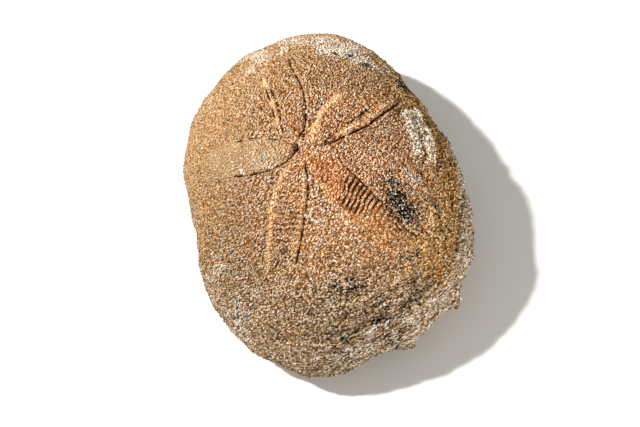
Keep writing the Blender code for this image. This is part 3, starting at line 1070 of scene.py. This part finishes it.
def stone_material(name):
    """Weathered limestone: tan on the left, orange in the middle, ochre and grey where it is worn."""
    make = MaterialMaker(name)
    place = make.place()
    mottle = make.noise(place, *MOTTLE)
    speck = make.noise(place, *SPECK)
    fine, grains = grain_pattern(make, place)
    # Painted highlight and shade: the grains read a step towards the key light, so each grain is pale on its
    # lit side and dark on its far side
    _, painted_lit_grains = grain_pattern(make, make.shifted(place, PAINTED_HIGHLIGHT_STEP))
    layers = make.noise(make.mapping(place, GRAIN_TURN, LAYER_STRETCH), *LAYERS)
    layers = layers * make.share("weathered") * (LAYER_STRENGTH + GREY_LAYER_STRENGTH * make.share("grey"))
    wavy = layers + rib_pattern(make, fine + speck) * RIB_BUMP
    strength = grain_strength(make)
    rough = grains * strength + wavy
    low, middle, high = stone_tones(make, mottle, speck, rough)
    bright = make.range(make.share("tone"), *BRIGHT_TONES)
    bright = bright * (1.0 - BRIGHT_WEATHERED * make.share("weathered"))
    # The rough tone lift uses the shifted grains: a painted highlight on lit sides and painted shade on far
    # sides
    patterns = {"rough": painted_lit_grains * strength + wavy, "speck": speck, "mottle": mottle, "bright": bright}
    lift = tone_lift(make, patterns)
    base = make.blend(make.range(lift, *TONE_STOPS[:2]), low, middle)
    base = make.blend(make.range(lift, *TONE_STOPS[1:]), base, high)
    painted_glint, pore, pit = stone_spots(make, place, mottle)
    tube = make.line("tube", speck, TUBE_EDGE) * TUBE_STRENGTH
    # Painted shade along the grooves
    groove_shade = make.line("groove_shade", speck * GROOVE_RAGGED[0] + rough * GROOVE_RAGGED[1], GROOVE_EDGE)
    leaf = make.share("leaf") * LEAF_STRENGTH
    layer_colours = (
        (leaf, LEAF_COLOUR),
        (painted_glint, PAINTED_GLINT_COLOUR),
        (tube, TUBE_COLOUR),
        (groove_shade, GROOVE_SHADE_COLOUR),
        (pit, PIT_COLOUR),
        (pore, PORE_COLOUR),
    )
    for share, paint in layer_colours:
        base = make.blend(share, base, colour(*paint))
    make.put(make.shader.inputs["Base Color"], base)
    make.put(make.shader.inputs["Roughness"], DULLNESS + SPECK_DULLNESS * make.range(speck, *DULL_SPECKS))
    make.shader.inputs["Specular IOR Level"].default_value = SPECULAR
    bump = make.node("ShaderNodeBump", {}, {"Strength": 1.0, "Distance": BUMP_DISTANCE * MM, "Height": rough})
    make.put(make.shader.inputs["Normal"], bump)
    return make.material


class ScatterMaker(Maker):
    """Makes one Geometry Nodes tree, from a surface to what stands on it."""

    def __init__(self, name):
        super().__init__(bpy.data.node_groups.new(name, "GeometryNodeTree"))
        for way in ("INPUT", "OUTPUT"):
            self.tree.interface.new_socket("Geometry", in_out=way, socket_type="NodeSocketGeometry")
        self.surface = Value(self, self.tree.nodes.new("NodeGroupInput").outputs["Geometry"])
        self.end = self.tree.nodes.new("NodeGroupOutput")

    def attribute(self, name):
        """A number kept at the surface's vertices."""
        return self.node("GeometryNodeInputNamedAttribute", {"data_type": "FLOAT"}, {"Name": name})

    def turning(self, share, first, last):
        """From first to last as the share goes from 0 to 1."""
        return self.node("ShaderNodeMapRange", {}, {"Value": share, "To Min": first, "To Max": last})

    def random(self, low, high, seed):
        sockets = {2: low, 3: high, "Seed": seed}
        return self.node("FunctionNodeRandomValue", {"data_type": "FLOAT"}, sockets, output=1)

    def height(self):
        place = self.node("GeometryNodeInputPosition", {}, {})
        return self.node("ShaderNodeSeparateXYZ", {}, {0: place}, output="Z")

    def stored(self, geometry, domain, name, value):
        """The geometry with a number kept at each of its points or copies."""
        sockets = {"Geometry": geometry, "Name": name, "Value": value}
        return self.node("GeometryNodeStoreNamedAttribute", {"data_type": "FLOAT", "domain": domain}, sockets)


def bump_share(make, given):
    """The share of bumps that stand at a place: none in grooves, on ridges or where the stone rests."""
    low, high = (height * MM for height in BUMPS_FROM_HEIGHT)
    on_dome = make.node("ShaderNodeMapRange", {}, {"Value": make.height(), "From Min": low, "From Max": high})
    smooth = make.turning(make.attribute("smooth"), 1.0, given["Keep smooth"])
    worn = make.turning(make.attribute("worn"), 1.0, given["Keep worn"])
    by_place = make.turning(make.attribute("coarse"), given["Keep fine"], given["Keep coarse"])
    return smooth * worn * on_dome * (1.0 - make.attribute("bare")) * by_place


def bump_size(make, given):
    """Each bump's size along its length, its width and its height."""
    width = make.random(given["Smallest radius"], given["Largest radius"], given["Seed"])
    width = width * make.turning(make.attribute("coarse"), *BUMP_GROWTH)
    length = width * make.random(1.0, given["Stretch"], STRETCH_SEED)
    return make.node("ShaderNodeCombineXYZ", {}, {"X": length, "Y": width, "Z": width * given["Rise"]})


def bump_ball(make, given):
    """A small ball that keeps how near each of its points is to its tip."""
    sockets = {"Segments": given["Segments"], "Rings": given["Rings"], "Radius": 1.0}
    return make.stored(make.node("GeometryNodeMeshUVSphere", {}, sockets), "POINT", "tip", make.height())


def bump_tree(name, material, given):
    """Scatters small round bumps over a surface, sunk halfway in, each turned and sized at random."""
    make = ScatterMaker(name)
    sockets = {
        "Mesh": make.surface,
        "Distance Min": given["Spacing"],
        "Density Max": BUMP_DENSITY,
        "Density Factor": bump_share(make, given),
        "Seed": given["Seed"],
    }
    points = make.node("GeometryNodeDistributePointsOnFaces", {"distribute_method": "POISSON"}, sockets)
    turn = make.node("ShaderNodeCombineXYZ", {}, {"Z": make.random(0.0, 2.0 * math.pi, TURN_SEED)})
    sockets = {0: points.beside("Rotation"), 1: turn}
    turned = make.node("FunctionNodeRotateRotation", {"rotation_space": "LOCAL"}, sockets)
    sockets = {
        "Points": points,
        "Instance": bump_ball(make, given),
        "Rotation": turned,
        "Scale": bump_size(make, given),
    }
    copies = make.node("GeometryNodeInstanceOnPoints", {}, sockets)
    toned = make.stored(copies, "INSTANCE", "tone", make.random(*BUMP_TONES, TONE_SEED))
    real = make.node("GeometryNodeRealizeInstances", {}, {"Geometry": toned})
    painted = make.node("GeometryNodeSetMaterial", {}, {"Geometry": real, "Material": material})
    make.put(make.end.inputs["Geometry"], painted)
    return make.tree


def scatter(name, stone, material, values):
    """One piece of scattered bumps on the stone's surface."""
    piece = link_piece(name, stone.data.copy())
    bumps = piece.modifiers.new("bumps", "NODES")
    bumps.node_group = bump_tree(name, material, {**BUMP_SHAPE, **values})
    finish_piece(piece, material)


def make_floor():
    """A plain pale floor under the stone."""
    mesh = plain_mesh("floor", bmesh.ops.create_grid, x_segments=1, y_segments=1, size=FLOOR_SIZE)
    make = MaterialMaker("pale_floor")
    make.shader.inputs["Base Color"].default_value = FLOOR_COLOUR
    make.shader.inputs["Roughness"].default_value = FLOOR_ROUGHNESS
    mesh.materials.append(make.material)
    floor = link_piece("floor", mesh)


def camera_axes():
    """The camera's view as unit vectors: right, up, and back from the object to the camera."""
    elevation, roll = math.radians(CAMERA_ELEVATION), math.radians(CAMERA_ROLL)
    back = Vector((0.0, -math.cos(elevation), math.sin(elevation)))
    level = Vector((1.0, 0.0, 0.0))
    upright = back.cross(level)
    right = math.cos(roll) * level - math.sin(roll) * upright
    up = math.sin(roll) * level + math.cos(roll) * upright
    return right, up, back


def make_camera():
    """The camera, aimed a little beside the stone."""
    right, up, back = camera_axes()
    target = Vector((*APEX, CAMERA_TARGET_HEIGHT)) * MM
    place = target + back * CAMERA_DISTANCE * MM
    aim = target + (right * CAMERA_AIM_RIGHT + up * CAMERA_AIM_UP) * MM
    back = (place - aim).normalized()
    right = up.cross(back).normalized()
    up = back.cross(right)
    data = bpy.data.cameras.new("camera")
    data.lens = LENS
    data.sensor_width = SENSOR
    data.clip_start = CLIP_START
    camera = link_piece("camera", data)
    camera.matrix_world = Matrix.Translation(place) @ Matrix((right, up, back)).transposed().to_4x4()
    bpy.context.scene.camera = camera


def make_light(name, toward, distance, size, power):
    """A soft square light that shines on the stone from that side."""
    right, up, back = camera_axes()
    direction = (right * toward[0] + up * toward[1] + back * toward[2]).normalized()
    data = bpy.data.lights.new(name, "AREA")
    data.size = size
    data.energy = power
    data.color = LIGHT_TINT
    light = link_piece(name, data)
    light.location = Vector((0.0, 0.0, CAMERA_TARGET_HEIGHT * MM)) + direction * distance
    light.rotation_euler = direction.to_track_quat("Z", "Y").to_euler()


def make_studio():
    """Plain soft light, and colours shown as they are."""
    world = bpy.data.worlds.new("studio")
    bpy.context.scene.world = world
    world.use_nodes = True
    background = world.node_tree.nodes["Background"]
    background.inputs["Color"].default_value = SKY_COLOUR
    background.inputs["Strength"].default_value = SKY_STRENGTH
    bpy.context.scene.view_settings.view_transform = "Standard"
    for name, values in LIGHTS.items():
        make_light(name, *values)


limestone = stone_material("weathered_limestone")
stone = make_stone(limestone)
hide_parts(NODE)

for name, values in BUMPS.items():
    scatter(name, stone, limestone, values)

make_floor()
make_camera()
make_studio()
